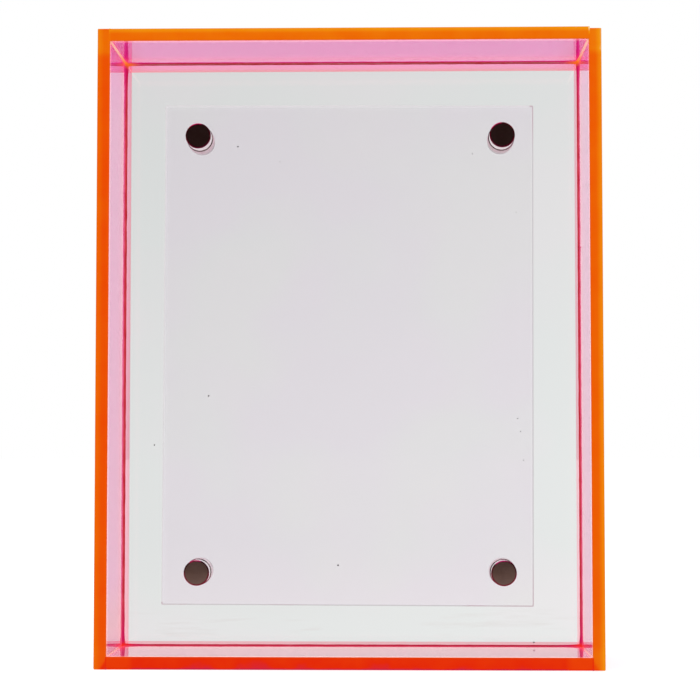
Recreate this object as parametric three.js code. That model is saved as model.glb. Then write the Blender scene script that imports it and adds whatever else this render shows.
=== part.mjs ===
// Acrylic box frame for a photo print, standing on its lower wall. Millimetres, +Z up, front towards -Y.
// Four tinted walls are cemented round a clear mounting panel. A clear cover sheet lies on the panel, and
// four turned posts hold it there, each by a magnet in its foot and a partner behind the panel.
import * as THREE from "three";

// Box of four walls
const frameWidth = 190.5;
const frameHeight = 241.3;
const frameDepth = 63.5;
const wallThickness = 4.76;
const wallEase = 0.4; // flat bevel along each free edge of a wall
const rightWallSetDown = 0.6; // the right wall's upper end stops this far below the upper wall's face
const cementGap = 0.1; // film of cement in each butt joint

// Clear sheets
const frontRecess = 42.7; // front rim to the panel's front face
const panelThickness = 4.5;
const coverMargin = 17.4; // wall to the edge of a centred cover sheet, all round
const coverDrop = 0.95; // the cover sheet and its posts sit this far below the panel's middle
const postShift = 0.3; // the posts sit this far to the left of the panel's middle
const coverShift = 0.9; // the loose sheet lies this far to the left of the posts' middle
const coverThickness = 3;
const coverCornerRadius = 1;
const coverEase = 0.3;
const printGap = 0.3; // room for a print between the panel and the cover sheet

// Turned posts and their magnets
const postInsetSide = 13.3; // post axis to a centred cover sheet's side edge
const postInsetEnd = 12.8; // post axis to the cover sheet's upper or lower edge
const postDiameter = 10;
const postHeight = 8;
const postRimBevel = 0.5;
const postFlangeDiameter = 10.4;
const postFlangeThickness = 0.6;
const postFootBevel = 0.3;
const footGap = 0.1; // post foot to the cover sheet
const magnetDiameter = 7;
const magnetThickness = 5;
const magnetBevel = 0.25;
const magnetSetBack = 0.2; // magnet face behind the post's foot, so that metal never scratches the sheet
const pocketSideGap = 0.1;
const pocketEndGap = 0.3;
const rearMagnetDiameter = 10;
const rearMagnetThickness = 4.8;
const rearMagnetBevel = 0.3;
const adhesiveGap = 0.1; // film of adhesive between a rear magnet and the panel

const turnedSegments = 48;
const cornerSegments = 3;

// Places that follow from the sizes above
const innerWidth = frameWidth - 2 * wallThickness;
const innerHeight = frameHeight - 2 * wallThickness;
const frontRim = -frameDepth / 2;
const middleHeight = frameHeight / 2;
const coverMiddle = middleHeight - coverDrop;
const panelFront = frontRim + frontRecess;
const panelBack = panelFront + panelThickness;
const coverBack = panelFront - printGap;
const coverFront = coverBack - coverThickness;
const coverWidth = innerWidth - 2 * coverMargin;
const coverHeight = innerHeight - 2 * coverMargin;
const postSeat = coverFront - footGap;
const postReachX = coverWidth / 2 - postInsetSide;
const postReachZ = coverHeight / 2 - postInsetEnd;

const pinkAcrylic = new THREE.MeshStandardMaterial({ color: 0xf2649f, roughness: 0.06, metalness: 0 });
const clearAcrylic = new THREE.MeshStandardMaterial({ color: 0xe6e8e6, roughness: 0.05, metalness: 0 });
const coverAcrylic = new THREE.MeshStandardMaterial({ color: 0xdddadd, roughness: 0.05, metalness: 0 });
const turnedSteel = new THREE.MeshStandardMaterial({ color: 0xc9c4c0, roughness: 0.2, metalness: 1 });
const nickelPlate = new THREE.MeshStandardMaterial({ color: 0xbdb8ae, roughness: 0.25, metalness: 1 });

function piece(name, geometry, material) {
  const mesh = new THREE.Mesh(geometry, material);
  mesh.name = name;
  return mesh;
}

// A rectangle about the origin with its four corners cut at 45 degrees.
function easedRectangle(width, height, ease) {
  const halfWidth = width / 2;
  const halfHeight = height / 2;
  const shape = new THREE.Shape();
  shape.moveTo(-halfWidth + ease, -halfHeight);
  shape.lineTo(halfWidth - ease, -halfHeight);
  shape.lineTo(halfWidth, -halfHeight + ease);
  shape.lineTo(halfWidth, halfHeight - ease);
  shape.lineTo(halfWidth - ease, halfHeight);
  shape.lineTo(-halfWidth + ease, halfHeight);
  shape.lineTo(-halfWidth, halfHeight - ease);
  shape.lineTo(-halfWidth, -halfHeight + ease);
  shape.closePath();
  return shape;
}

// A rectangle about the origin with round corners.
function roundedRectangle(width, height, radius) {
  const reachX = width / 2 - radius;
  const reachY = height / 2 - radius;
  const quarter = Math.PI / 2;
  const shape = new THREE.Shape();
  shape.absarc(reachX, -reachY, radius, -quarter, 0);
  shape.absarc(reachX, reachY, radius, 0, quarter);
  shape.absarc(-reachX, reachY, radius, quarter, 2 * quarter);
  shape.absarc(-reachX, -reachY, radius, 2 * quarter, 3 * quarter);
  shape.closePath();
  return shape;
}

// Extrudes an outline to the full length given, with both ends bevelled by ease.
function easedExtrusion(outline, length, ease) {
  const geometry = new THREE.ExtrudeGeometry(outline, {
    depth: length - 2 * ease,
    bevelThickness: ease,
    bevelSize: ease,
    bevelOffset: -ease,
    bevelSegments: 1,
    curveSegments: cornerSegments,
  });
  return geometry.translate(0, 0, ease);
}

// A side wall stands on the ground plane. Its ends show, so they are eased as its long edges are.
function sideWall(name, side, height) {
  const section = easedRectangle(wallThickness, frameDepth, wallEase);
  const wall = piece(name, easedExtrusion(section, height, wallEase), pinkAcrylic);
  wall.position.x = side * (frameWidth - wallThickness) / 2;
  return wall;
}

// An upper or lower wall lies between the side walls, with square ends for the butt joints.
// Its section is drawn in the plane of depth and thickness and drawn out along X.
function crossWall(name, middleZ) {
  const section = easedRectangle(frameDepth, wallThickness, wallEase);
  const length = innerWidth - 2 * cementGap;
  const geometry = new THREE.ExtrudeGeometry(section, { depth: length, bevelEnabled: false });
  const wall = piece(name, geometry, pinkAcrylic);
  wall.rotation.set(Math.PI / 2, Math.PI / 2, 0);
  wall.position.set(-length / 2, 0, middleZ);
  return wall;
}

function mountingPanel() {
  const width = innerWidth - 2 * cementGap;
  const height = innerHeight - 2 * cementGap;
  const panel = piece("mounting_panel", new THREE.BoxGeometry(width, panelThickness, height), clearAcrylic);
  panel.position.set(0, (panelFront + panelBack) / 2, middleHeight);
  return panel;
}

// The cover sheet's outline is drawn upright and extruded from its back face towards the front.
function coverSheet() {
  const outline = roundedRectangle(coverWidth, coverHeight, coverCornerRadius);
  const sheet = piece("cover_sheet", easedExtrusion(outline, coverThickness, coverEase), coverAcrylic);
  sheet.rotation.x = Math.PI / 2;
  sheet.position.set(-postShift - coverShift, coverBack, coverMiddle);
  return sheet;
}

// Revolves a half section, given as [radius, distance along Y], about the Y axis.
function turned(halfSection) {
  const points = halfSection.map(([radius, along]) => new THREE.Vector2(radius, along));
  return new THREE.LatheGeometry(points, turnedSegments);
}

// The post's foot is at 0 and its face towards -Y. A thin flange spreads the foot's pull on the sheet, and a
// blind pocket takes the magnet.
function postGeometry() {
  const radius = postDiameter / 2;
  const flangeRadius = postFlangeDiameter / 2;
  const pocketRadius = magnetDiameter / 2 + pocketSideGap;
  const pocketDepth = magnetSetBack + magnetThickness + pocketEndGap;
  return turned([
    [0, -postHeight],
    [radius - postRimBevel, -postHeight],
    [radius, -postHeight + postRimBevel],
    [radius, -postFlangeThickness],
    [flangeRadius, -postFlangeThickness],
    [flangeRadius, -postFootBevel],
    [flangeRadius - postFootBevel, 0],
    [pocketRadius, 0],
    [pocketRadius, -pocketDepth],
    [0, -pocketDepth],
  ]);
}

// A disc magnet between two places along Y, with both rims bevelled.
function magnetGeometry(diameter, front, back, bevel) {
  const radius = diameter / 2;
  return turned([
    [0, front],
    [radius - bevel, front],
    [radius, front + bevel],
    [radius, back - bevel],
    [radius - bevel, back],
    [0, back],
  ]);
}

// A post with the magnet in its foot, and the partner magnet that stays on the panel.
function postSet(place, x, z) {
  const post = new THREE.Group();
  post.position.set(x, postSeat, z);
  const magnetBack = -magnetSetBack;
  const magnet = magnetGeometry(magnetDiameter, magnetBack - magnetThickness, magnetBack, magnetBevel);
  post.add(piece("post_" + place, postGeometry(), turnedSteel));
  post.add(piece("post_magnet_" + place, magnet, nickelPlate));

  const disc = magnetGeometry(rearMagnetDiameter, 0, rearMagnetThickness, rearMagnetBevel);
  const partner = piece("rear_magnet_" + place, disc, nickelPlate);
  partner.position.set(x, panelBack + adhesiveGap, z);
  return [post, partner];
}

const photoFrame = new THREE.Group();
photoFrame.add(sideWall("wall_left", -1, frameHeight));
photoFrame.add(sideWall("wall_right", 1, frameHeight - rightWallSetDown));
photoFrame.add(crossWall("wall_top", frameHeight - wallThickness / 2));
photoFrame.add(crossWall("wall_bottom", wallThickness / 2));
photoFrame.add(mountingPanel());
photoFrame.add(coverSheet());
for (const [level, upDown] of [["top", 1], ["bottom", -1]]) {
  for (const [side, leftRight] of [["left", -1], ["right", 1]]) {
    const place = level + "_" + side;
    const across = leftRight * postReachX - postShift;
    photoFrame.add(...postSet(place, across, coverMiddle + upDown * postReachZ));
  }
}

export default photoFrame;
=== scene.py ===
import math
from functools import partial

import bmesh
import bpy
from mathutils import Matrix, Vector


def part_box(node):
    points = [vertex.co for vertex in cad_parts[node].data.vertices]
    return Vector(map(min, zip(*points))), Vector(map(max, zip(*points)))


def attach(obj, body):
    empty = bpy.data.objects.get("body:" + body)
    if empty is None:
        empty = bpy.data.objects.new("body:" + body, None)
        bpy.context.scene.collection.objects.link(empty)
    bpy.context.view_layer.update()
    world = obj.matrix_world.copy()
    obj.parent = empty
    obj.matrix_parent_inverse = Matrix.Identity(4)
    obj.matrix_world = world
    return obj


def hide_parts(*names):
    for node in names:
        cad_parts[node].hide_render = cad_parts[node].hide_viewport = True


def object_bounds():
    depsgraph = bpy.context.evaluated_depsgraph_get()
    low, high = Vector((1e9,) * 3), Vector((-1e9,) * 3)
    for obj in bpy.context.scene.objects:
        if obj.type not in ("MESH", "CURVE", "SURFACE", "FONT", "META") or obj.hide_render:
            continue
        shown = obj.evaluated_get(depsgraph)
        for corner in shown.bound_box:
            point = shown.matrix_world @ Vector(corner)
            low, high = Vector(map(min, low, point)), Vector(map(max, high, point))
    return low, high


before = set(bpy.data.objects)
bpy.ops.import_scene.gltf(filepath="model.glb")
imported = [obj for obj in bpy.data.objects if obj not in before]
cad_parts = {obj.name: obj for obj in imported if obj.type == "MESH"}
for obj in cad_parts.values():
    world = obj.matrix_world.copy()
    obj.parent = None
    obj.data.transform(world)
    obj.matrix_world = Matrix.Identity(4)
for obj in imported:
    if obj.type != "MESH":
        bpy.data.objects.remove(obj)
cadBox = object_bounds()
mm = 0.001
nodeWeld = 1e-6  # points nearer than this are one, inside a node tree
meshWeld = 1e-7  # and on a finished mesh

scene = bpy.context.scene
scene.view_settings.view_transform = "Standard"


# sRGB hex to the linear RGBA that shader sockets take
def hexLinear(code):
    channels = [int(code[i:i + 2], 16) / 255 for i in (1, 3, 5)]
    return [c / 12.92 if c <= 0.04045 else ((c + 0.055) / 1.055) ** 2.4 for c in channels] + [1.0]


# Sets a colour ramp's stops, given as (place, hex colour)
def setStops(ramp, stops):
    while len(ramp.elements) < len(stops):
        ramp.elements.new(0.5)
    for element, (place, colour) in zip(ramp.elements, stops):
        element.position = place
        element.color = hexLinear(colour)


# Fills a node's inputs: a node or a socket is linked, a hex colour is made linear, another value is set
def setInputs(node, inputs):
    for name, value in inputs.items():
        if isinstance(value, bpy.types.Node):
            value = next(socket for socket in value.outputs if socket.enabled)
        if isinstance(value, bpy.types.NodeSocket):
            node.id_data.links.new(value, node.inputs[name])
        else:
            isColour = isinstance(value, str) and value.startswith("#")
            node.inputs[name].default_value = hexLinear(value) if isColour else value


# One node with its inputs, its ramp's stops and its settings; a kind without a family is a shader node
def addNode(tree, kind, inputs=None, stops=(), **settings):
    node = tree.nodes.new(kind if "Node" in kind else "ShaderNode" + kind)
    for name, value in settings.items():
        setattr(node, name, value)
    if stops:
        setStops(node.color_ramp, stops)
    setInputs(node, inputs or {})
    return node


# Empties a material's or a world's node tree and gives the function that adds nodes to it
def bareTree(owner):
    owner.use_nodes = True
    owner.node_tree.nodes.clear()
    return partial(addNode, owner.node_tree)


# A material with one Principled surface, its node adder, that surface and its Object coordinates
def newMaterial(name, values):
    material = bpy.data.materials.new(name)
    add = bareTree(material)
    surface = add("BsdfPrincipled", values)
    add("OutputMaterial", {"Surface": surface})
    return material, add, surface, add("TexCoord").outputs["Object"]


def objectFrom(mesh, name):
    obj = bpy.data.objects.new(name, mesh)
    scene.collection.objects.link(obj)
    return obj


# Rides a piece on its body, in the place of the CAD nodes that it stands for
def settle(obj, body, nodes=()):
    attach(obj, body)
    if nodes:
        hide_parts(*nodes)


# Straight lines between (place, level) points
def between(points, place):
    for (a, low), (b, high) in zip(points, points[1:]):
        if place <= b:
            return low + (high - low) * max(0.0, (place - a) / (b - a))
    return points[-1][1]


# Camera at the photo's viewing angle: low, a little right of the middle, looking slightly up
cameraSet = {
    "lens": 100.41,
    "place": (17.36 * mm, -762.1 * mm, 80.07 * mm),
    "tilt": 93.061,
    "turn": 1.325,
}


def buildCamera():
    data = bpy.data.cameras.new("camera")
    data.lens = cameraSet["lens"]
    camera = bpy.data.objects.new("camera", data)
    camera.location = cameraSet["place"]
    camera.rotation_euler = (math.radians(cameraSet["tilt"]), 0, math.radians(cameraSet["turn"]))
    scene.collection.objects.link(camera)
    scene.camera = camera


# Studio: a white sweep behind and below, soft lamps, and an unlit room on the camera's side
studioSet = {
    "lightLevel": 0.62,
    "sweepLow": 0.87,
    "sweepHigh": 0.79,
    "sweepHighAt": 0.2,
    "sweepLeftToRight": 0.25,
    "floorHalf": 30.0,
    "floorDrop": 0.2 * mm,
    "floorAhead": 0.7,  # nearest distance from the camera that counts in its drift from left to right
    "floorSlope": 0.2,
    "floorGrey": 0.55,
    "floorGlow": 0.72,
    # what mirrors show of the room, from behind the camera to behind the frame
    "roomTurn": [
        (0.0, "#301D1C"), (0.15, "#36201F"), (0.5, "#5C5250"), (0.68, "#8C8684"), (0.86, "#FAFAFA"),
    ],
    "roomDirect": 0.78,  # share of it that is left where no clear sheet stands in between
    # the same for the floor, by distance along Y in metres
    "floorFar": -1.0,
    "floorNear": 0.08,
    "floorTurn": [
        (0.0, "#4A3834"), (0.35, "#66514A"), (0.75, "#987E78"), (0.88, "#9C8E8C"), (0.98, "#FAFAFA"),
    ],
}
lampSet = {
    "overhead": {"place": (-0.35, -0.25, 1.3), "size": 1.1, "energy": 5.0},
    "front": {"place": (1.0, -1.1, 0.7), "size": 0.9, "energy": 4.0},
}


# A shader for each kind of ray: the camera's, a mirror's, one that comes through glass, and all other light
def sortRays(add, direct, mirror, glass, lit):
    path = add("LightPath")
    mirrored = add("Math", {0: path.outputs["Glossy Depth"], 1: 0.5}, operation="GREATER_THAN")
    through = add("Math", {0: path.outputs["Is Transmission Ray"], 1: mirrored}, operation="MAXIMUM")
    seen = add("MixShader", {0: mirrored, 1: glass, 2: mirror})
    rest = add("MixShader", {0: through, 1: lit, 2: seen})
    return add("MixShader", {0: path.outputs["Is Camera Ray"], 1: rest, 2: direct})


def buildWorld():
    world = bpy.data.worlds.new("studio")
    scene.world = world
    add = bareTree(world)
    towards = add("TexCoord").outputs["Generated"]
    split = add("SeparateXYZ", {0: towards})
    level = add("MapRange", {
        "Value": split.outputs["Z"], "From Max": studioSet["sweepHighAt"],
        "To Min": studioSet["sweepLow"], "To Max": studioSet["sweepHigh"],
    })
    sweep = add("Math", {0: split.outputs["X"], 1: studioSet["sweepLeftToRight"], 2: level},
                operation="MULTIPLY_ADD")
    depth = add("MapRange", {"Value": split.outputs["Y"], "From Min": -1.0})
    room = add("ValToRGB", {0: depth}, studioSet["roomTurn"])
    behindGlass = add("LightPath").outputs["Is Transmission Ray"]
    dim = add("MapRange", {"Value": behindGlass, "To Min": studioSet["roomDirect"]})
    white = add("Background", {"Color": "#FFFFFF"})
    mirror = add("Background", {"Color": room, "Strength": dim})
    glass = add("Background", {"Color": "#FFFFFF", "Strength": sweep})
    lit = add("Background", {"Color": "#FFFFFF", "Strength": studioSet["lightLevel"]})
    add("OutputWorld", {"Surface": sortRays(add, white, mirror, glass, lit)})


# White seamless paper: clear of the shadow it is as white as the sweep behind it, and glass shows it as
# the same pale grey; mirrors show it darker towards the camera
def paperMaterial():
    material = bpy.data.materials.new("seamlessPaper")
    add = bareTree(material)
    where = add("TexCoord").outputs["Object"]
    split = add("SeparateXYZ", {0: where})
    depth = add("MapRange", {
        "Value": split.outputs["Y"], "From Min": studioSet["floorFar"], "From Max": studioSet["floorNear"],
    })
    turn = add("ValToRGB", {0: depth}, studioSet["floorTurn"])
    grey = studioSet["floorGrey"]
    matt = add("BsdfDiffuse", {"Color": (grey, grey, grey, 1)})
    glow = add("Emission", {"Strength": studioSet["floorGlow"]})
    bright = add("AddShader", {0: matt, 1: glow})
    away = add("Math", {0: split.outputs["Y"], 1: cameraSet["place"][1]}, operation="SUBTRACT")
    ahead = add("Math", {0: away, 1: studioSet["floorAhead"]}, operation="MAXIMUM")
    slope = add("Math", {0: split.outputs["X"], 1: ahead}, operation="DIVIDE")
    most = studioSet["floorSlope"]
    drift = most * studioSet["sweepLeftToRight"]
    sweep = add("MapRange", {
        "Value": slope, "From Min": -most, "From Max": most,
        "To Min": studioSet["sweepLow"] - drift, "To Max": studioSet["sweepLow"] + drift,
    })
    mirror = add("Emission", {"Color": turn})
    glass = add("Emission", {"Strength": sweep})
    add("OutputMaterial", {"Surface": sortRays(add, bright, mirror, glass, matt)})
    return material


def buildStage():
    reach = studioSet["floorHalf"]
    level = -studioSet["floorDrop"]
    mesh = bpy.data.meshes.new("floor")
    corners = [(-reach, -reach, level), (reach, -reach, level), (reach, reach, level), (-reach, reach, level)]
    mesh.from_pydata(corners, [], [(0, 1, 2, 3)])
    mesh.materials.append(paperMaterial())
    objectFrom(mesh, "floor")
    for name, lamp in lampSet.items():
        data = bpy.data.lights.new(name, "AREA")
        data.size = lamp["size"]
        data.energy = lamp["energy"]
        obj = objectFrom(data, name)
        obj.location = lamp["place"]
        aim = (cadBox[0] + cadBox[1]) / 2 - Vector(lamp["place"])
        obj.rotation_euler = aim.to_track_quat("-Z", "Y").to_euler()


buildCamera()
buildWorld()
buildStage()
print("studio set")

panelLow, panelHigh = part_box("mounting_panel")
innerLeft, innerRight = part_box("wall_left")[1].x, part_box("wall_right")[0].x
innerBottom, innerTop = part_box("wall_bottom")[1].z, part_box("wall_top")[0].z
innerMiddle = Vector(((innerLeft + innerRight) / 2, 0, (innerBottom + innerTop) / 2))
innerHalf = Vector(((innerRight - innerLeft) / 2, 0, (innerTop - innerBottom) / 2))
rimFront, rimBack = cadBox[0].y, cadBox[1].y


# 1 in the inner corners of the box, falling to 0 at the given distances from them along X and along Z
def cornerNearness(add, where, reachX, reachZ):
    away = add("VectorMath", {0: where, 1: innerMiddle}, operation="SUBTRACT")
    size = add("VectorMath", {0: away}, operation="ABSOLUTE")
    left = add("VectorMath", {0: innerHalf, 1: size}, operation="SUBTRACT")
    share = add("VectorMath", {0: left, 1: (reachX, 1.0, reachZ)}, operation="DIVIDE")
    split = add("SeparateXYZ", {0: share})
    distance = add("Math", {0: split.outputs["X"], 1: split.outputs["Z"]}, operation="MAXIMUM")
    return add("MapRange", {"Value": distance, "To Min": 1.0, "To Max": 0.0}, interpolation_type="SMOOTHSTEP")


# A height as a share of the room between the lower and the upper wall
def heightShare(add, height):
    return add("MapRange", {"Value": height, "From Min": innerBottom, "From Max": innerTop})


# Colours in blotches of about the given size
def mottle(add, where, size, detail, stops):
    blotches = add("TexNoise", {"Vector": where, "Scale": 1 / size, "Detail": detail})
    return add("ValToRGB", {0: blotches}, stops)


# Noise of the given size, drawn out along the axes whose scale is below 1
def streaks(add, where, scale, size, detail):
    drawn = add("Mapping", {"Vector": where, "Scale": scale})
    return add("TexNoise", {"Vector": drawn, "Scale": 1 / size, "Detail": detail})


# Painted glow: the colour is emitted as painted light, and a share of it is left as base colour to take outer
# light
def paintGlow(add, surface, colour, share):
    body = add("Mix", {0: 1.0, 6: colour, 7: (share, share, share, 1)},
               data_type="RGBA", blend_type="MULTIPLY")
    setInputs(surface, {"Base Color": body, "Emission Color": colour})


# Fluorescent cast acrylic, faces as cast: clear pink that passes light and mirrors at low angles. It has
# painted glow behind the front rim, along the cemented panel and in the corners, where its pink is also
# deepened as a painted reflection. Wiping marks catch the light.
pinkFaceSet = {
    "tint": [(0.08, "#F67E9C"), (0.16, "#F47CBA"), (0.95, "#F678BE"), (1.0, "#F65CBC")],  # from foot to top
    "cloudSize": 60 * mm,
    "cloudShare": 0.1,  # how far the cloud shifts that tint up or down
    "cornerReach": 12 * mm,
    "cornerLeast": 0.35,  # strength of the lower corners beside the upper ones
    # painted reflection: the pink deepened in the corners, with painted glow there too
    "cornerPaintedReflection": "#E81C94",
    "cornerLight": "#240818",
    # painted glow along the depth: peach behind the front rim, hot pink at the panel and behind it
    "light": [
        (0.02, "#906A50"), (0.07, "#060208"), (0.5, "#060208"), (0.58, "#5C1A1C"), (0.63, "#5C1A1C"),
        (0.65, "#280A14"), (0.74, "#280A14"), (0.85, "#601A26"), (0.97, "#58141C"),
    ],
    "wipeSize": 1.5 * mm,
    "wipeScale": (1.0, 0.05, 1.0),
}


def pinkFaceMaterial():
    own = pinkFaceSet
    material, add, surface, where = newMaterial("fluorescentCastAcrylicFace", {
        "IOR": 1.49, "Transmission Weight": 1.0, "Emission Strength": 1.0,
    })
    split = add("SeparateXYZ", {0: where})
    cloud = add("TexNoise", {"Vector": where, "Scale": 1 / own["cloudSize"], "Detail": 2.0})
    height = heightShare(add, split.outputs["Z"])
    uneven = add("Math", {0: cloud, 1: own["cloudShare"], 2: height}, operation="MULTIPLY_ADD")
    tint = add("ValToRGB", {0: uneven}, own["tint"])
    near = cornerNearness(add, where, own["cornerReach"], own["cornerReach"])
    strength = add("MapRange", {"Value": height, "To Min": own["cornerLeast"]})
    corner = add("Math", {0: near, 1: strength}, operation="MULTIPLY")
    depth = add("MapRange", {"Value": split.outputs["Y"], "From Min": rimFront, "From Max": rimBack})
    light = add("ValToRGB", {0: depth}, own["light"])
    marks = streaks(add, where, own["wipeScale"], own["wipeSize"], 3.0)
    setInputs(surface, {
        "Base Color": add("Mix", {0: corner, 6: tint, 7: own["cornerPaintedReflection"]}, data_type="RGBA"),
        "Emission Color": add("Mix", {0: corner, 6: light, 7: own["cornerLight"]},
                              data_type="RGBA", blend_type="ADD"),
        "Roughness": add("MapRange", {
            "Value": marks, "From Min": 0.45, "From Max": 0.8, "To Min": 0.01, "To Max": 0.04,
        }),
    })
    return material


# The same sheet's cut and flame-polished edges, coloured by painted glow: crimson and red where a wall gets
# least light, orange where it gets most. Eased corners get painted shade and show as darker lines.
pinkEdgeSet = {
    "glow": [
        (0.0, "#C61A50"), (0.08, "#E82802"), (0.24, "#EE4400"), (0.48, "#F06800"), (0.8, "#F5960C"),
        (1.0, "#FFD89A"),
    ],
    "glowShare": 0.8,  # place along these colours of a wall's level 1
    "cloudSize": 9 * mm,
    "cloudDrift": 0.03,
    # painted shade on the eased corners, inside and outside
    "innerEaseShade": "#CE6428",
    "outerEaseShade": "#C47A1C",
    # seen from inside the sheet a rim gets a pale painted glow, rosy at the sides and peach above
    "fromInside": "#F490A4",
    "fromInsideAbove": "#F4A494",
    "bodyShare": 0.25,
    "rippleSize": 1.2 * mm,
    "rippleDepth": 0.05 * mm,
}


def pinkEdgeMaterial():
    own = pinkEdgeSet
    material, add, surface, where = newMaterial("fluorescentAcrylicPolishedEdge", {
        "IOR": 1.49, "Specular IOR Level": 0.1, "Emission Strength": 0.8,
    })
    glow = add("Attribute", attribute_name="glow").outputs["Fac"]
    tone = add("Attribute", attribute_name="tone").outputs["Fac"]
    cloud = add("TexNoise", {"Vector": where, "Scale": 1 / own["cloudSize"], "Detail": 2.0})
    drift = add("MapRange", {
        "Value": cloud, "From Min": 0.3, "From Max": 0.7,
        "To Min": -own["cloudDrift"], "To Max": own["cloudDrift"],
    })
    level = add("Math", {0: glow, 1: own["glowShare"], 2: drift}, operation="MULTIPLY_ADD")
    rim = add("ValToRGB", {0: level}, own["glow"])
    inner = add("Mix", {0: tone, 6: rim, 7: own["innerEaseShade"]}, data_type="RGBA")
    away = add("Math", {0: tone, 1: -1.0}, operation="MULTIPLY")
    outer = add("Mix", {0: away, 6: inner, 7: own["outerEaseShade"]}, data_type="RGBA")
    height = add("SeparateXYZ", {0: where}).outputs["Z"]
    above = add("Math", {0: height, 1: innerTop}, operation="GREATER_THAN")
    pale = add("Mix", {0: above, 6: own["fromInside"], 7: own["fromInsideAbove"]}, data_type="RGBA")
    inside = add("NewGeometry").outputs["Backfacing"]
    paintGlow(add, surface, add("Mix", {0: inside, 6: outer, 7: pale}, data_type="RGBA"), own["bodyShare"])
    ripple = add("TexNoise", {"Vector": where, "Scale": 1 / own["rippleSize"], "Detail": 1.0})
    setInputs(surface, {
        "Roughness": add("MapRange", {
            "Value": ripple, "From Min": 0.3, "From Max": 0.7, "To Min": 0.16, "To Max": 0.26,
        }),
        "Normal": add("Bump", {"Height": ripple, "Strength": 0.15, "Distance": own["rippleDepth"]}),
    })
    return material


cementLook = {
    "surface": {"IOR": 1.47, "Specular IOR Level": 0.1, "Roughness": 0.3, "Emission Strength": 0.75},
    "bodyShare": 0.3,
    "frothSize": 6 * mm,
    "endDepth": 2 * mm,  # nearer than this to the upper or lower wall, a line has that wall's colour
    "crimson": "#D4145A",
    "crimsonReach": (14 * mm, 22 * mm),  # from a corner, along X and along Z
    # painted glow in the corners, from low to high
    "paintedHeat": [(0.1, "#F62E28"), (0.9, "#FF7820")],
    "heatReach": (6.5 * mm, 2.5 * mm),
    "runFroth": [(0.35, "#FFA496"), (0.7, "#FFBCA6")],
    "runHeatReach": 24 * mm,
    "runBehind": "#E89CB0",
}


# Painted glow where cement gathers in the corners: orange above, red below
def paintedCornerGlow(add, height):
    return add("ValToRGB", {0: heightShare(add, height)}, cementLook["paintedHeat"])


# Solvent cement along the panel: a crimson line with painted glow, paler in froth, darker along
# the upper and lower wall, crimson towards the corners, and with a hotter painted glow where it has run
# together in them
def cementMaterial(name, deep, pale, lower, upper):
    own = cementLook
    material, add, surface, where = newMaterial(name, own["surface"])
    height = add("SeparateXYZ", {0: where}).outputs["Z"]
    froth = mottle(add, where, own["frothSize"], 4.0, [(0.35, deep), (0.7, pale)])
    level = add("ValToRGB", {0: heightShare(add, height)}, [(0.0, lower), (1.0, upper)])
    upright = add("Math", {
        0: height, 1: innerMiddle.z, 2: innerHalf.z - own["endDepth"],
    }, operation="COMPARE")
    line = add("Mix", {0: upright, 6: level, 7: froth}, data_type="RGBA")
    near = cornerNearness(add, where, *own["crimsonReach"])
    dark = add("Mix", {0: near, 6: line, 7: own["crimson"]}, data_type="RGBA")
    paintedGlowMask = cornerNearness(add, where, *own["heatReach"])
    hot = add("Mix", {0: paintedGlowMask, 6: dark, 7: paintedCornerGlow(add, height)}, data_type="RGBA")
    paintGlow(add, surface, hot, own["bodyShare"])
    return material


# Cement between two walls: pale pink at the rim, with painted glow growing hotter towards the panel
def cornerCementMaterial():
    own = cementLook
    material, add, surface, where = newMaterial("solventCementInCornerJoint", own["surface"])
    split = add("SeparateXYZ", {0: where})
    near = add("MapRange", {
        "Value": split.outputs["Y"], "From Min": panelLow.y - own["runHeatReach"], "From Max": panelLow.y,
    }, interpolation_type="SMOOTHSTEP")
    froth = mottle(add, where, own["frothSize"], 4.0, own["runFroth"])
    front = add("Mix", {0: near, 6: froth, 7: paintedCornerGlow(add, split.outputs["Z"])}, data_type="RGBA")
    behind = add("Math", {0: split.outputs["Y"], 1: panelHigh.y}, operation="GREATER_THAN")
    run = add("Mix", {0: behind, 6: front, 7: own["runBehind"]}, data_type="RGBA")
    paintGlow(add, surface, run, own["bodyShare"])
    return material


clearLook = {
    "cloudSize": 70 * mm,
    "smear": "#F1EDEC",
    "smearSize": 4 * mm,
    "smearScale": (0.12, 1.0, 1.0),
    "smearFull": 9 * mm,  # height over the lower wall up to which smears are strongest
    "smearEnd": 17 * mm,
    "wipeSize": 2 * mm,
    "wipeScale": (0.08, 1.0, 1.0),
}


# Clear acrylic sheet: nearly colourless, with a haze of fine wiping marks; a faint cast may shine in it as
# painted glow
def clearMaterial(name, thin, thick, cast, smeared):
    own = clearLook
    material, add, surface, where = newMaterial(name, {
        "IOR": 1.49, "Transmission Weight": 1.0, "Emission Color": cast, "Emission Strength": 0.02,
    })
    tint = mottle(add, where, own["cloudSize"], 2.0, [(0.42, thin), (0.58, thick)])
    height = add("SeparateXYZ", {0: where}).outputs["Z"]
    low = add("MapRange", {
        "Value": height, "From Min": innerBottom + own["smearFull"],
        "From Max": innerBottom + own["smearEnd"], "To Min": smeared, "To Max": 0.0,
    })
    smear = streaks(add, where, own["smearScale"], own["smearSize"], 2.0)
    streak = add("MapRange", {"Value": smear, "From Min": 0.58, "From Max": 0.74})
    share = add("Math", {0: streak, 1: low}, operation="MULTIPLY")
    marks = streaks(add, where, own["wipeScale"], own["wipeSize"], 3.0)
    setInputs(surface, {
        "Base Color": add("Mix", {0: share, 6: tint, 7: own["smear"]}, data_type="RGBA"),
        "Roughness": add("MapRange", {
            "Value": marks, "From Min": 0.5, "From Max": 0.8, "To Min": 0.0, "To Max": 0.03,
        }),
    })
    return material


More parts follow.
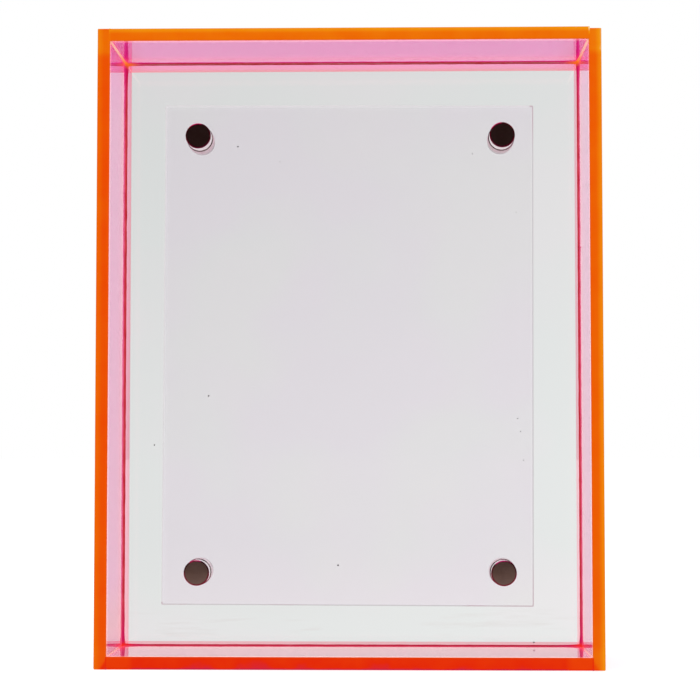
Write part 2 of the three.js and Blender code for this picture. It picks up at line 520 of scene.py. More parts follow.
# The cover sheet's sawn edge: frosted, pale with a painted glow that stands for the light running inside the
# sheet, with painted shade on its right and lower edge, streaked by the saw, and soiled where it is handled
# and where it stands
sawnSet = {
    "teeth": [(0.3, "#DEDEDF"), (0.7, "#E8E8E9")],
    "toothSize": 0.8 * mm,
    "toothScale": (1.0, 0.15, 1.0),
    # painted shade on the right and lower edge
    "shadedSide": "#CDCDCE",
    "soil": "#C8BABF",
    "soilSize": 14 * mm,
    "edgeReach": 1 * mm,
    "handledFrom": 18 * mm,  # distances from the ends of the right edge, between which soil grows
    "handledTo": 6 * mm,
    "bodyShare": 0.15,
}


def sawnEdgeMaterial():
    own = sawnSet
    material, add, surface, where = newMaterial("extrudedAcrylicSawnEdge", {
        "IOR": 1.49, "Roughness": 0.5, "Emission Strength": 0.86,
    })
    teeth = streaks(add, where, own["toothScale"], own["toothSize"], 2.0)
    sawn = add("ValToRGB", {0: teeth}, own["teeth"])
    grime = add("TexNoise", {"Vector": where, "Scale": 1 / own["soilSize"], "Detail": 3.0})
    spot = add("MapRange", {"Value": grime, "From Min": 0.5, "From Max": 0.6})
    low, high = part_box("cover_sheet")
    halfHeight = (high.z - low.z) / 2
    split = add("SeparateXYZ", {0: where})
    right = add("Math", {0: split.outputs["X"], 1: high.x - own["edgeReach"]}, operation="GREATER_THAN")
    below = add("Math", {0: split.outputs["Z"], 1: low.z + own["edgeReach"]}, operation="LESS_THAN")
    height = add("Math", {0: split.outputs["Z"], 1: (low.z + high.z) / 2}, operation="SUBTRACT")
    off = add("Math", {0: height}, operation="ABSOLUTE")
    ends = add("MapRange", {
        "Value": off, "From Min": halfHeight - own["handledFrom"], "From Max": halfHeight - own["handledTo"],
    })
    handled = add("Math", {0: right, 1: ends}, operation="MULTIPLY")
    stood = add("Math", {0: below, 1: spot}, operation="MULTIPLY")
    soiled = add("Math", {0: handled, 1: stood}, operation="MAXIMUM")
    # painted shade: the right and lower edges are dimmer
    shadedSide = add("Math", {0: right, 1: below}, operation="MAXIMUM")
    dim = add("Mix", {0: shadedSide, 6: sawn, 7: own["shadedSide"]}, data_type="RGBA")
    dirty = add("Mix", {0: soiled, 6: dim, 7: own["soil"]}, data_type="RGBA")
    paintGlow(add, surface, dirty, own["bodyShare"])
    return material


pinkFace = pinkFaceMaterial()
pinkEdge = pinkEdgeMaterial()
panelEdgeCement = cementMaterial("solventCementBehindPanelEdge", "#AE1E2E", "#C63840", "#B41A38", "#A81020")
beadCement = cementMaterial("solventCementBead", "#C62836", "#DE4A56", "#C82442", "#B81826")
cornerCement = cornerCementMaterial()
clearFace = clearMaterial("castAcrylicClear", "#F9FCFB", "#FCFBFC", "#000000", 1.0)
coverFace = clearMaterial("extrudedAcrylicClear", "#FEF7FD", "#FBFBFB", "#FFEEFF", 0.0)
coverEdge = sawnEdgeMaterial()
print("sheet and cement finishes made")


# A rectangle with round corners, anticlockwise; its sides along U and along V are cut into equal steps
def roundedOutline(halfU, halfV, radius, inset, stepsU, stepsV, arcSteps=4):
    arcs = []
    for corner, (signU, signV) in enumerate(((1, -1), (1, 1), (-1, 1), (-1, -1))):
        centre = Vector((signU * (halfU - radius), signV * (halfV - radius)))
        angles = [math.radians(90 * (corner - 1 + k / arcSteps)) for k in range(arcSteps + 1)]
        arcs.append([centre + (radius - inset) * Vector((math.cos(a), math.sin(a))) for a in angles])
    points = []
    for corner, arcPoints in enumerate(arcs):
        points += arcPoints
        following = arcs[(corner + 1) % 4][0]
        steps = stepsU if corner % 2 else stepsV
        points += [arcPoints[-1].lerp(following, k / steps) for k in range(1, steps)]
    return points


# Places along a sheet's length and how far its outline draws in there, with both ends eased
def easedStations(length, ease, step, arcSteps=4):
    quarter = [math.pi / 2 * k / arcSteps for k in range(arcSteps + 1)]
    start = [(ease * (1 - math.cos(t)), ease * (1 - math.sin(t))) for t in quarter] if ease else [(0.0, 0.0)]
    plain = length - 2 * ease
    count = max(1, round(plain / step))
    middle = [(ease + plain * k / count, 0.0) for k in range(1, count)]
    return start + middle + [(length - along, inset) for along, inset in reversed(start)]


# Faces from each ring of points to the next, and a cap at either end
def skinRings(shape, rings):
    for lower, upper in zip(rings, rings[1:]):
        for k, vertex in enumerate(lower):
            j = (k + 1) % len(lower)
            shape.faces.new((vertex, lower[j], upper[j], upper[k]))
    shape.faces.new(list(reversed(rings[0])))
    shape.faces.new(rings[-1])


def meshFrom(shape, name, *materials):
    mesh = bpy.data.meshes.new(name)
    shape.to_mesh(mesh)
    shape.free()
    for material in materials:
        mesh.materials.append(material)
    return mesh


# A sheet cut to a box. Its outline lies across the given axis and is drawn out along it. Faces across the
# thin axis take the first material and all others the second.
def sheetMesh(name, box, axis, thin, radius, ease, materials, step=1.0, across=1):
    low, high = box
    u, v = [i for i in range(3) if i != axis]
    middle = (low + high) / 2
    half = (high - low) / 2
    shape = bmesh.new()
    rings = []
    for along, inset in easedStations(2 * half[axis], ease, step):
        outline = roundedOutline(half[u], half[v], radius, inset,
                                 across if u == thin else 1, across if v == thin else 1)
        ring = []
        for spot in outline:
            point = middle.copy()
            point[axis] = low[axis] + along
            point[u] += spot.x
            point[v] += spot.y
            ring.append(shape.verts.new(point))
        rings.append(ring)
    skinRings(shape, rings)
    bmesh.ops.remove_doubles(shape, verts=shape.verts, dist=meshWeld)
    bmesh.ops.recalc_face_normals(shape, faces=shape.faces)
    flat = 0.9999  # part of a normal along one axis, from which a face counts as square to it
    for face in shape.faces:
        face.smooth = max(abs(c) for c in face.normal) < flat
        face.material_index = 0 if abs(face.normal[thin]) > flat else 1
    return meshFrom(shape, name, *materials)


# Walls: their edges' painted glow, from 0 crimson to 1 orange, at shares of the thickness from inside to
# outside; and what the last stretch at each end adds
wallSet = {
    "ease": 0.4 * mm,
    "step": 1.25 * mm,
    "across": 10,
    "endBlur": 1.0 * mm,
    # painted shade: the side walls' glow is lowered towards red in their lower corners along a slant, meeting
    # the lower wall's red
    "cornerDim": 0.3,
    "slantWidth": 0.6,
    "slantBlur": 0.2,
    "wall_left": {
        "axis": 2, "thin": 0, "across": [(0.0, 0.44), (0.2, 0.38), (0.5, 0.4), (0.7, 0.5), (1.0, 0.6)],
        "lowReach": 8 * mm, "lowGlow": 0.05, "highReach": 10 * mm, "highGlow": 0.24,
    },
    "wall_right": {
        "axis": 2, "thin": 0, "across": [(0.0, 0.5), (0.5, 0.54), (0.65, 0.66), (0.85, 0.82), (1.0, 0.88)],
        "lowReach": 8 * mm, "lowGlow": 0.1, "highReach": 8.5 * mm, "highGlow": 0.18, "endLine": 0.06,
    },
    "wall_top": {
        "axis": 0, "thin": 2, "across": [(0.0, 0.64), (0.6, 0.67), (0.72, 0.8), (0.85, 0.94), (1.0, 0.96)],
        "lowReach": 9 * mm, "lowGlow": -0.03, "highReach": 9 * mm, "highGlow": 0.02,
    },
    "wall_bottom": {
        "axis": 0, "thin": 2, "across": [(0.0, 0.22), (0.14, 0.14), (0.88, 0.1), (0.95, 0.0), (1.0, 0.0)],
        "lowReach": 9 * mm, "lowGlow": 0.12, "highReach": 9 * mm, "highGlow": 0.12, "outerTone": 0.0,
    },
}


# Writes a wall's painted glow, and the painted shade of its eased corners: 1 inside, -1 outside, 0 on the
# flat of a rim
def paintWall(mesh, wall, box):
    low, high = box
    thin, axis = wall["thin"], wall["axis"]
    thickness = high[thin] - low[thin]
    outwards = low[thin] + high[thin] > cadBox[0][thin] + cadBox[1][thin]
    glow = mesh.attributes.new("glow", "FLOAT", "POINT")
    tone = mesh.attributes.new("tone", "FLOAT", "POINT")
    blur = wallSet["endBlur"]
    for vertex in mesh.vertices:
        across = (vertex.co[thin] - low[thin]) / thickness
        across = across if outwards else 1 - across
        fromLow = vertex.co[axis] - low[axis]
        fromHigh = high[axis] - vertex.co[axis]
        level = between(wall["across"], across)
        for end, distance in (("low", fromLow), ("high", fromHigh)):
            reach = wall[end + "Reach"]
            level += between([(reach - blur, wall[end + "Glow"]), (reach + blur, 0.0)], distance)
        if abs(fromHigh - wall["highReach"]) < blur:
            level += wall.get("endLine", 0.0)
        if axis == 2 and fromLow < thickness:
            slant = wallSet["slantWidth"] * (1 - fromLow / thickness) - across
            level -= wallSet["cornerDim"] * min(1.0, max(0.0, slant / wallSet["slantBlur"]))
        glow.data[vertex.index].value = max(0.0, level)
        fromRim = min(vertex.co.y - low.y, high.y - vertex.co.y)
        eased = min(1.0, fromRim / wallSet["ease"])
        if min(across, 1 - across) * thickness > wallSet["ease"]:
            eased = 0.0  # end bevels keep the rim's own tone
        tone.data[vertex.index].value = eased if across < 0.5 else -eased * wall.get("outerTone", 1.0)


def buildWalls():
    for name in ("wall_left", "wall_right", "wall_top", "wall_bottom"):
        wall = wallSet[name]
        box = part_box(name)
        endEase = wallSet["ease"] if wall["axis"] == 2 else 0.0  # upper and lower walls butt square
        mesh = sheetMesh(name + "_sheet", box, wall["axis"], wall["thin"], wallSet["ease"], endEase,
                         (pinkFace, pinkEdge), wallSet["step"], wallSet["across"])
        paintWall(mesh, wall, box)
        settle(objectFrom(mesh, name + "_sheet"), "frame", [name])


clearSet = {
    "panelEase": 0.1 * mm,
    "coverRadius": 0.5 * mm,
    "coverEase": 0.3 * mm,
    "coverOver": 0.4 * mm,  # sawn this much over size at the upper and lower end
    "coverAskew": math.radians(0.22),
}


def buildClearSheets():
    panel = sheetMesh("mounting_panel_sheet", (panelLow, panelHigh), 1, 1, clearSet["panelEase"],
                      clearSet["panelEase"], (clearFace, panelEdgeCement))
    settle(objectFrom(panel, "mounting_panel_sheet"), "frame", ["mounting_panel"])
    low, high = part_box("cover_sheet")
    over = Vector((0, 0, clearSet["coverOver"]))
    cover = sheetMesh("cover_sheet_clear", (low - over, high + over), 1, 1, clearSet["coverRadius"],
                      clearSet["coverEase"], (coverFace, coverEdge))
    middle = Matrix.Translation((low + high) / 2)
    cover.transform(middle @ Matrix.Rotation(clearSet["coverAskew"], 4, "Y") @ middle.inverted())
    settle(objectFrom(cover, "cover_sheet_clear"), "cover", ["cover_sheet"])


buildWalls()
buildClearSheets()
print("sheets cut")


# Starts a tree with a geometry socket and the named inputs; gives its node adder and those inputs
def openTree(name, sockets):
    tree = bpy.data.node_groups.new(name, "GeometryNodeTree")
    tree.interface.new_socket("Geometry", in_out="INPUT", socket_type="NodeSocketGeometry")
    for label, kind in sockets.items():
        tree.interface.new_socket(label, in_out="INPUT", socket_type="NodeSocket" + kind)
    tree.interface.new_socket("Geometry", in_out="OUTPUT", socket_type="NodeSocketGeometry")
    add = partial(addNode, tree)
    return add, add("NodeGroupInput").outputs


# Ends a tree: instances made real, then the finish
def closeTree(add, given, geometry):
    whole = add("GeometryNodeRealizeInstances", {0: geometry})
    dressed = add("GeometryNodeSetMaterial", {"Geometry": whole, "Material": given["Finish"]})
    return add("NodeGroupOutput", {0: dressed}).id_data


# Runs a tree on a start mesh and keeps the result as a plain, closed mesh
def runTree(name, tree, start, values):
    source = objectFrom(start, name + "_source")
    modifier = source.modifiers.new("build", "NODES")
    modifier.node_group = tree
    for item in tree.interface.items_tree:
        if item.in_out == "INPUT" and item.name in values:
            modifier[item.identifier] = values[item.name]
    depsgraph = bpy.context.evaluated_depsgraph_get()
    result = bpy.data.meshes.new_from_object(source.evaluated_get(depsgraph))
    source.modifiers.clear()
    bpy.data.objects.remove(source)
    shape = bmesh.new()
    shape.from_mesh(result)
    bmesh.ops.remove_doubles(shape, verts=shape.verts, dist=meshWeld)
    bmesh.ops.recalc_face_normals(shape, faces=shape.faces)
    shape.to_mesh(result)
    shape.free()
    result.name = name
    return result


# Loose points, which a tree takes its profile or its places from
def pointMesh(name, points):
    mesh = bpy.data.meshes.new(name)
    mesh.from_pydata(points, [], [])
    return mesh


# A grid with a column for each profile point, its row numbers, and the profile point of each column
def profileGrid(add, given, rows):
    count = add("GeometryNodeAttributeDomainSize", {0: given["Geometry"]}, component="MESH")
    grid = add("GeometryNodeMeshGrid", {"Vertices X": count, "Vertices Y": rows})
    index = add("GeometryNodeInputIndex")
    column = add("FunctionNodeIntegerMath", {0: index, 1: rows}, operation="DIVIDE_FLOOR")
    row = add("FunctionNodeIntegerMath", {0: index, 1: rows}, operation="MODULO")
    place = add("GeometryNodeInputPosition")
    profile = add("GeometryNodeSampleIndex", {
        "Geometry": given["Geometry"], "Value": place, "Index": column,
    }, data_type="FLOAT_VECTOR", domain="POINT")
    return grid, row, add("SeparateXYZ", {0: profile})


# Lathe: turns a profile of (radius, distance along Y) about an axis through Place
def latheTree():
    add, given = openTree("lathe", {
        "Segments": "Int", "Place": "Vector", "Sharp Angle": "Float", "Finish": "Material",
    })
    rows = add("FunctionNodeIntegerMath", {0: given["Segments"], 1: 1}, operation="ADD")
    grid, row, profile = profileGrid(add, given, rows)
    share = add("Math", {0: row, 1: given["Segments"]}, operation="DIVIDE")
    angle = add("Math", {0: share, 1: 2 * math.pi}, operation="MULTIPLY")
    cosine = add("Math", {0: angle}, operation="COSINE")
    sine = add("Math", {0: angle}, operation="SINE")
    spot = add("CombineXYZ", {
        "X": add("Math", {0: profile.outputs["X"], 1: cosine}, operation="MULTIPLY"),
        "Y": profile.outputs["Y"],
        "Z": add("Math", {0: profile.outputs["X"], 1: sine}, operation="MULTIPLY"),
    })
    shift = add("VectorMath", {0: spot, 1: given["Place"]}, operation="ADD")
    kept = add("GeometryNodeStoreNamedAttribute", {
        "Geometry": grid, "Name": "radius", "Value": profile.outputs["X"],
    }, data_type="FLOAT", domain="POINT")
    moved = add("GeometryNodeSetPosition", {"Geometry": kept, "Position": shift})
    closed = add("GeometryNodeMergeByDistance", {"Geometry": moved, "Distance": nodeWeld})
    bend = add("GeometryNodeInputMeshEdgeAngle")
    crisp = add("FunctionNodeCompare", {"A": bend, "B": given["Sharp Angle"]},
                data_type="FLOAT", operation="GREATER_THAN")
    smooth = add("GeometryNodeSetShadeSmooth", {0: closed}, domain="FACE")
    edged = add("GeometryNodeSetShadeSmooth", {0: smooth, "Selection": crisp, "Shade Smooth": False},
                domain="EDGE")
    return closeTree(add, given, edged)


# Bead: draws a section of (along the panel, along the wall) out along X, with cement gathered at its ends,
# then turns it about Z, turns it about Y and moves it to its joint
def beadTree():
    add, given = openTree("cementBead", {
        "Length": "Float", "Leg": "Float", "Start Pool": "Float", "End Pool": "Float", "Pool Reach": "Float",
        "Wander": "Float", "Wander Length": "Float", "Seed": "Float", "Stations": "Int",
        "Spin": "Vector", "Turn": "Vector", "Place": "Vector", "Finish": "Material",
    })
    rows, length = given["Stations"], given["Length"]
    grid, row, section = profileGrid(add, given, rows)
    # rows run from one end to the other, and the first and last repeat the end places to close them
    inner = add("Math", {0: rows, 1: 3.0}, operation="SUBTRACT")
    step = add("Math", {0: row, 1: 1.0}, operation="SUBTRACT")
    share = add("Math", {0: step, 1: inner}, operation="DIVIDE", use_clamp=True)
    along = add("Math", {0: share, 1: length}, operation="MULTIPLY")
    left = add("Math", {0: length, 1: along}, operation="SUBTRACT")
    pools = []
    for distance, label in ((along, "Start Pool"), (left, "End Pool")):
        reach = add("Math", {0: distance, 1: given["Pool Reach"]}, operation="DIVIDE")
        fall = add("Math", {0: reach, 1: -1.0}, operation="MULTIPLY")
        gather = add("Math", {0: fall}, operation="EXPONENT")
        pools.append(add("Math", {0: gather, 1: given[label]}, operation="MULTIPLY"))
    pooled = add("Math", {0: pools[0], 1: pools[1]}, operation="ADD")
    wave = add("Math", {0: along, 1: given["Wander Length"]}, operation="DIVIDE")
    spot = add("CombineXYZ", {"X": wave, "Y": given["Seed"]})
    noise = add("TexNoise", {"Vector": spot, "Scale": 1.0, "Detail": 2.0}, noise_dimensions="2D")
    uneven = add("Math", {0: noise, 1: 0.5}, operation="SUBTRACT")
    wander = add("Math", {0: uneven, 1: given["Wander"], 2: 1.0}, operation="MULTIPLY_ADD")
    sized = add("Math", {0: wander, 1: given["Leg"], 2: pooled}, operation="MULTIPLY_ADD")
    started = add("Math", {0: row, 1: 0.5}, operation="GREATER_THAN")
    lastRow = add("Math", {0: rows, 1: 1.5}, operation="SUBTRACT")
    going = add("Math", {0: row, 1: lastRow}, operation="LESS_THAN")
    inside = add("Math", {0: started, 1: going}, operation="MULTIPLY")
    leg = add("Math", {0: sized, 1: inside}, operation="MULTIPLY")
    half = add("Math", {0: length, 1: 0.5}, operation="MULTIPLY")
    corner = add("CombineXYZ", {
        "X": add("Math", {0: along, 1: half}, operation="SUBTRACT"),
        "Y": add("Math", {0: section.outputs["Y"], 1: leg}, operation="MULTIPLY"),
        "Z": add("Math", {0: section.outputs["X"], 1: leg}, operation="MULTIPLY"),
    })
    moved = add("GeometryNodeSetPosition", {"Geometry": grid, "Position": corner})
    closed = add("GeometryNodeMergeByDistance", {"Geometry": moved, "Distance": nodeWeld})
    smooth = add("GeometryNodeSetShadeSmooth", {0: closed}, domain="FACE")
    spun = add("GeometryNodeTransform", {"Geometry": smooth, "Rotation": given["Spin"]})
    turned = add("GeometryNodeTransform", {
        "Geometry": spun, "Rotation": given["Turn"], "Translation": given["Place"],
    })
    return closeTree(add, given, turned)


# Specks: a flattened grain at each point, of that point's size
def speckTree():
    add, given = openTree("specks", {"Flatness": "Float", "Finish": "Material"})
    grain = add("GeometryNodeMeshIcoSphere", {"Radius": 1.0, "Subdivisions": 2})
    flat = add("CombineXYZ", {"X": 1.0, "Y": given["Flatness"], "Z": 1.0})
    pressed = add("GeometryNodeTransform", {"Geometry": grain, "Scale": flat})
    size = add("GeometryNodeInputNamedAttribute", {"Name": "size"}, data_type="FLOAT")
    points = add("GeometryNodeMeshToPoints", {0: given["Geometry"]})
    placed = add("GeometryNodeInstanceOnPoints", {"Points": points, "Instance": pressed, "Scale": size})
    return closeTree(add, given, placed)


lathe = latheTree()
bead = beadTree()
specks = speckTree()


# Points round part of a circle
def arc(centre, radius, start, end, count=5):
    angles = [math.radians(start + (end - start) * k / count) for k in range(count + 1)]
    return [(centre[0] + radius * math.cos(a), centre[1] + radius * math.sin(a), 0) for a in angles]


places = ["top_left", "top_right", "bottom_left", "bottom_right"]
turnedSet = {
    "segments": 96,
    "sharpAngle": math.radians(28),
    "ringPitch": 0.3 * mm,
    "ringDepth": 0.003 * mm,
    "ringSteps": 6,
    "faceCrown": 0.05 * mm,
    "radius": 5.0 * mm,
    "rimBevel": 0.45 * mm,
    "footBevel": 0.3 * mm,
    "flange": 0.6 * mm,
    "flangeRadius": 5.2 * mm,
    "flangeFillet": 0.1 * mm,
    "sideSteps": 12,
    "pocketRadius": 3.6 * mm,
    "pocketDepth": 5.5 * mm,
    "magnetBevel": 0.25 * mm,
    "glueRadius": 5.3 * mm,
    "glueGap": 0.02 * mm,
    "glueRound": 0.4,  # rim radius of a glue pad as a share of its thickness
    # finishes
    "stainSize": 4 * mm,
    "stain": [(0.3, "#CFC6C0"), (0.75, "#BFB2AB")],
    "edgeFrom": 4.5 * mm,  # from this radius to the flange's: bevel, side and flange
    # painted reflection: crimson on the bevel and rose on the side; painted shade on the flange
    "edge": [(0.0, "#981458"), (0.6, "#981458"), (0.69, "#E8D6D6"), (0.79, "#E8D6D6"), (0.85, "#5A363E")],
    "pebbleSize": 0.8 * mm,
    "pebbleDepth": 0.02 * mm,
    "plate": [(0.3, "#C6BDAF"), (0.7, "#B3AB9F")],
    "dullFrom": 4.6 * mm,
    "dull": "#AC9CA0",
    "bubbleSize": 0.7 * mm,
    "film": [(0.1, "#D6C4C8"), (0.6, "#C8B2B7")],
    # painted light: the film is whiter nearer the floor
    "paintedFloorLight": "#E6DCDD",
    "filmShare": 0.8,
}


# Stainless steel turned on a lathe and polished: fine rings round the axis that spread the mirror image, a
# painted crimson reflection of the walls on the rim's bevel, a painted rose reflection on the bright side,
# and painted shade on the flange
def turnedSteelMaterial():
    own = turnedSet
    material, add, surface, where = newMaterial("turnedStainlessSteel", {"Metallic": 1.0})
    ring = add("Attribute", attribute_name="radius").outputs["Fac"]
    turn = add("Math", {0: ring, 1: 2 * math.pi / own["ringPitch"]}, operation="MULTIPLY")
    wave = add("Math", {0: turn}, operation="SINE")
    face = mottle(add, where, own["stainSize"], 3.0, own["stain"])
    reach = add("MapRange", {"Value": ring, "From Min": own["edgeFrom"], "From Max": own["flangeRadius"]})
    edge = add("ValToRGB", {0: reach}, own["edge"])
    side = add("Math", {0: ring, 1: own["edgeFrom"]}, operation="GREATER_THAN")
    setInputs(surface, {
        "Base Color": add("Mix", {0: side, 6: face, 7: edge}, data_type="RGBA"),
        "Roughness": add("MapRange", {"Value": wave, "From Min": -1.0, "To Min": 0.08, "To Max": 0.16}),
    })
    return material


# Nickel plate over a pressed magnet: warm grey, with the slightly pebbled shine of barrel plating, and dull
# round the larger discs where glue has crept up
def nickelMaterial():
    own = turnedSet
    material, add, surface, where = newMaterial("barrelPlatedNickel", {"Metallic": 1.0})
    pebble = add("TexNoise", {"Vector": where, "Scale": 1 / own["pebbleSize"], "Detail": 2.0})
    plate = add("ValToRGB", {0: pebble}, own["plate"])
    ring = add("Attribute", attribute_name="radius").outputs["Fac"]
    side = add("Math", {0: ring, 1: own["dullFrom"]}, operation="GREATER_THAN")
    setInputs(surface, {
        "Base Color": add("Mix", {0: side, 6: plate, 7: own["dull"]}, data_type="RGBA"),
        "Roughness": add("MapRange", {
            "Value": pebble, "From Min": 0.3, "From Max": 0.7, "To Min": 0.14, "To Max": 0.26,
        }),
        "Normal": add("Bump", {"Height": pebble, "Strength": 0.2, "Distance": own["pebbleDepth"]}),
    })
    return material


# Cured glue behind the panel: a milky film with painted glow, whiter round caught bubbles and with painted
# light nearer to the bright floor; its greyish pink also serves as a painted soft shadow of the post
def glueAndShadowMaterial():
    own = turnedSet
    material, add, surface, where = newMaterial("milkyGlueAndPaintedShadow", {
        "IOR": 1.47, "Roughness": 0.6, "Specular IOR Level": 0.1, "Emission Strength": 0.75,
    })
    bubbles = add("TexVoronoi", {"Vector": where, "Scale": 1 / own["bubbleSize"]})
    film = add("ValToRGB", {0: bubbles}, own["film"])
    height = add("SeparateXYZ", {0: where}).outputs["Z"]
    low = add("MapRange", {"Value": height, "From Min": innerTop, "From Max": innerBottom})
    milk = add("Mix", {0: low, 6: film, 7: own["paintedFloorLight"]}, data_type="RGBA")
    paintGlow(add, surface, milk, own["filmShare"])
    return material


# Half section of a post from the middle of its crowned face, over the bevelled rim and the foot's flange, to
# the magnet's pocket
def postProfile(height):
    radius, flangeRadius = turnedSet["radius"], turnedSet["flangeRadius"]
    faceEnd = radius - turnedSet["rimBevel"]
    steps = round(faceEnd / turnedSet["ringPitch"]) * turnedSet["ringSteps"]
    points = []
    for k in range(steps + 1):
        share = k / steps
        wave = 1 + math.sin(2 * math.pi * k / turnedSet["ringSteps"])
        crown = turnedSet["faceCrown"] * share * share
        points.append((faceEnd * share, -height + crown + turnedSet["ringDepth"] * wave, 0))
    fillet = turnedSet["flangeFillet"]
    sideStart = -height + turnedSet["rimBevel"]
    sideEnd = -turnedSet["flange"] - fillet
    count = turnedSet["sideSteps"]
    points += [(radius, sideStart + (sideEnd - sideStart) * k / count, 0) for k in range(count + 1)]
    points += arc((radius + fillet, sideEnd), fillet, 180, 90)[1:]
    points += [(flangeRadius, -turnedSet["flange"], 0), (flangeRadius, -turnedSet["footBevel"], 0)]
    points.append((flangeRadius - turnedSet["footBevel"], 0, 0))
    pocket = turnedSet["pocketRadius"]
    points += [(pocket, 0, 0), (pocket, -turnedSet["pocketDepth"], 0), (0, -turnedSet["pocketDepth"], 0)]
    return points


# Half section of a disc with round rims, its front at 0
def discProfile(radius, thickness, bevel):
    front = arc((radius - bevel, bevel), bevel, -90, 0)
    back = arc((radius - bevel, thickness - bevel), bevel, 0, 90)
    return [(0, 0, 0)] + front + back + [(0, thickness, 0)]


def turnedPiece(name, profile, place, finish, body, nodes=()):
    mesh = runTree(name, lathe, pointMesh(name + "_profile", profile), {
        "Segments": turnedSet["segments"], "Place": place,
        "Sharp Angle": turnedSet["sharpAngle"], "Finish": finish,
    })
    settle(objectFrom(mesh, name), body, nodes)


def buildTurned():
    turnedSteel = turnedSteelMaterial()
    nickelPlate = nickelMaterial()
    glueAndShadow = glueAndShadowMaterial()
    gap = turnedSet["glueGap"]
    for place in places:
        post = "post_" + place
        low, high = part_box(post)
        middle = (low + high) / 2
        turnedPiece("turned_" + post, postProfile(high.y - low.y), (middle.x, high.y, middle.z),
                    turnedSteel, post, [post])
        for node, body in (("post_magnet_" + place, post), ("rear_magnet_" + place, "frame")):
            low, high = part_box(node)
            middle = (low + high) / 2
            profile = discProfile((high.x - low.x) / 2, high.y - low.y, turnedSet["magnetBevel"])
            turnedPiece("plated_" + node, profile, (middle.x, low.y, middle.z),
                        nickelPlate, body, [node])
        # the squeezed-out film that holds the rear magnet to the panel; it also serves as a painted soft
        # shadow of the post
        start = panelHigh.y + gap
        thickness = low.y - gap - start
        pad = discProfile(turnedSet["glueRadius"], thickness, thickness * turnedSet["glueRound"])
        turnedPiece("glue_and_shadow_pad_" + place, pad, (middle.x, start, middle.z), glueAndShadow, "frame")


buildTurned()
print("posts and magnets turned")

cementSet = {
    "legs": [0.35 * mm, 0.55 * mm, 0.34 * mm, 0.45 * mm],  # lower, left, upper and right line
    "wallShare": 0.45,  # a bead's leg along the wall, as a share of its leg along the panel
    "pool": 0.4 * mm,
    "poolReach": 2.5 * mm,
    "wander": 0.6,
    "wanderLength": 7 * mm,
    "stations": 180,
    "seedStep": 5.0,
    "cornerLegTop": 0.6 * mm,
    "cornerLegBottom": 0.22 * mm,
    "cornerLegBehind": 0.1 * mm,
    "cornerPool": 0.5 * mm,
    "cornerStations": 40,
    "cornerSeed": 30.0,
    "buttSteps": 6,
    "buttGlow": 0.02,
    "seamGlow": 0.28,  # the upper right joint shows as a pale line
    "seamFrom": 0.4,
}


def joinMeshes(name, meshes, material):
    shape = bmesh.new()
    for mesh in meshes:
        shape.from_mesh(mesh)
    for face in shape.faces:
        face.material_index = 0
    for mesh in meshes:
        bpy.data.meshes.remove(mesh)
    return meshFrom(shape, name, material)


def buildBeads():
    middleX, middleZ = innerMiddle.x, innerMiddle.z
    wide, tall = 2 * innerHalf.x, 2 * innerHalf.z
    lines = [(middleX, innerBottom, 0, wide), (innerLeft, middleZ, 90, tall),
             (middleX, innerTop, 180, wide), (innerRight, middleZ, 270, tall)]
    corners = [(innerLeft, innerBottom, 0), (innerLeft, innerTop, 90),
               (innerRight, innerTop, 180), (innerRight, innerBottom, 270)]
    shared = {"Pool Reach": cementSet["poolReach"], "Wander": cementSet["wander"],
              "Wander Length": cementSet["wanderLength"]}
    # a hollow fillet, in legs along the panel and along the wall
    fillet = [(0, 0, 0)] + arc((1, 1), 1, 270, 180) + [(0, 0, 0)]
    cornerSection = [(x, -y, z) for x, y, z in fillet]
    panelBeads = []
    cornerBeads = []
    for side, panelY, rimY in ((-1.0, panelLow.y, rimFront), (1.0, panelHigh.y, rimBack)):
        section = [(x, side * y * cementSet["wallShare"], z) for x, y, z in fillet]
        for k, (x, z, turn, length) in enumerate(lines):
            panelBeads.append(runTree("panel_bead", bead, pointMesh("section", section), shared | {
                "Length": length, "Leg": cementSet["legs"][k], "Start Pool": cementSet["pool"],
                "End Pool": cementSet["pool"], "Seed": cementSet["seedStep"] * k + side,
                "Stations": cementSet["stations"], "Turn": (0, math.radians(turn), 0),
                "Place": (x, panelY, z), "Finish": beadCement,
            }))
        start, end = sorted((panelY, rimY - side * wallSet["ease"]))
        for k, (x, z, turn) in enumerate(corners):
            legName = "cornerLegTop" if z > middleZ else "cornerLegBottom"
            legName = legName if side < 0 else "cornerLegBehind"
            cornerBeads.append(runTree("corner_bead", bead, pointMesh("section", cornerSection), shared | {
                "Length": end - start, "Leg": cementSet[legName],
                "Start Pool": 0.0, "End Pool": cementSet["cornerPool"] if side < 0 else 0.0,
                "Seed": cementSet["cornerSeed"] + cementSet["seedStep"] * k + side,
                "Stations": cementSet["cornerStations"], "Spin": (0, 0, math.radians(90)),
                "Turn": (0, math.radians(turn), 0), "Place": (x, (start + end) / 2, z),
                "Finish": cornerCement,
            }))
    panelCement = joinMeshes("panel_cement", panelBeads, beadCement)
    settle(objectFrom(panelCement, "panel_cement"), "frame")
    cornerRuns = joinMeshes("corner_cement", cornerBeads, cornerCement)
    settle(objectFrom(cornerRuns, "corner_cement"), "frame")


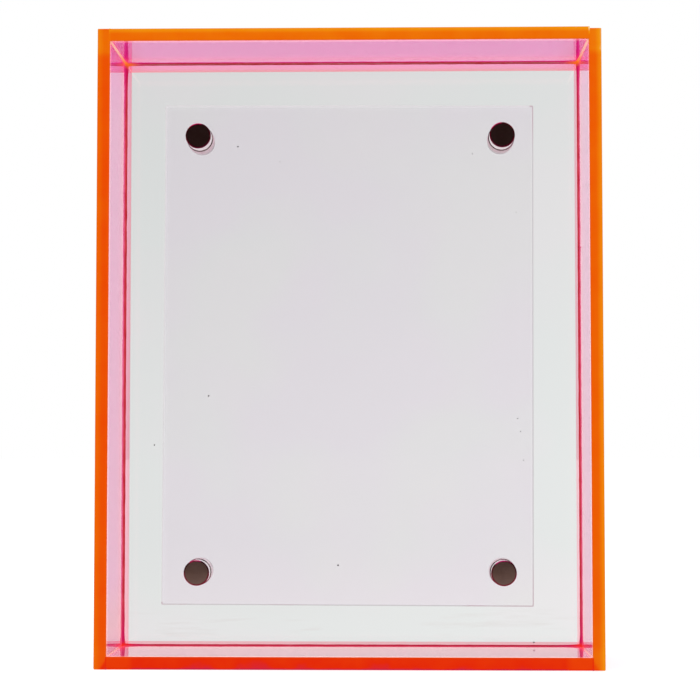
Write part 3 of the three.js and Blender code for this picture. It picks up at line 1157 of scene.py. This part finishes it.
# Cement in the four butt joints: it fills the gap and the side wall's eased corners flush with the rims
def buildButtFilms():
    ease, steps = wallSet["ease"], cementSet["buttSteps"]
    shape = bmesh.new()
    glowLayer = shape.verts.layers.float.new("glow")
    toneLayer = shape.verts.layers.float.new("tone")
    for cross in ("wall_top", "wall_bottom"):
        low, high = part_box(cross)
        for inner, end, sign in ((innerLeft, low.x, -1), (innerRight, high.x, 1)):
            openSeam = cross == "wall_top" and sign > 0
            eased = inner + sign * ease
            outline = [(eased, rimFront), (end, rimFront), (end, rimBack), (eased, rimBack),
                       (inner, rimBack - ease), (inner, rimFront + ease)]
            rings = []
            for step in range(steps + 1):
                share = step / steps
                across = share if cross == "wall_top" else 1 - share
                added = cementSet["seamGlow" if openSeam and share > cementSet["seamFrom"] else "buttGlow"]
                z = low.z + (high.z - low.z) * share
                ring = [shape.verts.new((x, y, z)) for x, y in outline]
                for vertex in ring:
                    vertex[glowLayer] = between(wallSet[cross]["across"], across) + added
                    vertex[toneLayer] = 0.0
                rings.append(ring)
            skinRings(shape, rings)
    bmesh.ops.recalc_face_normals(shape, faces=shape.faces)
    mesh = meshFrom(shape, "butt_cement", pinkEdge)
    settle(objectFrom(mesh, "butt_cement"), "frame")


buildBeads()
buildButtFilms()
print("cement laid")

# Grit between the sheets and on the panel, and bubbles in the cement, as (across, height, size) in mm
speckSet = {
    "flatness": 0.4,
    "grainSize": 0.2 * mm,
    "grain": [(0.3, "#2A2024"), (0.7, "#54464A")],
    "cover": [
        (-5.2, 36.5, 0.34), (-45.2, 202.6, 0.3), (-56.5, 103.2, 0.3), (65.7, 94.2, 0.22), (66.8, 89.1, 0.2),
        (-28.4, 196.5, 0.18), (48.1, 199.4, 0.2), (65.4, 176.0, 0.15), (67.9, 77.8, 0.18),
    ],
    "panel": [(-78.1, 83.8, 0.28), (71.7, 6.4, 0.3)],
    "bubbles": [(90.1, 162.1, 0.4), (90.2, 160.9, 0.3), (90.2, 212.4, 0.25)],
}


# Grit caught under the sheets: matt, near black with a brown cast
def gritMaterial():
    material, add, surface, where = newMaterial("darkGrit", {"Roughness": 0.8})
    setInputs(surface, {"Base Color": mottle(add, where, speckSet["grainSize"], 2.0, speckSet["grain"])})
    return material


def buildSpecks():
    grit = gritMaterial()
    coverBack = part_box("cover_sheet")[1].y
    for name, spots, y, finish, body, slotName in (
        ("cover_specks", speckSet["cover"], coverBack, grit, "cover", "cover_acrylic"),
        ("panel_specks", speckSet["panel"], panelLow.y, grit, "frame", "clear_acrylic"),
        ("cement_bubbles", speckSet["bubbles"], panelLow.y, panelEdgeCement, "frame", "pink_acrylic"),
    ):
        start = pointMesh(name + "_places", [(x * mm, y, z * mm) for x, z, size in spots])
        sizes = start.attributes.new("size", "FLOAT", "POINT")
        for k, (x, z, size) in enumerate(spots):
            sizes.data[k].value = size * mm
        mesh = runTree(name, specks, start, {"Flatness": speckSet["flatness"], "Finish": finish})
        settle(objectFrom(mesh, name), body)


buildSpecks()
print("specks scattered")
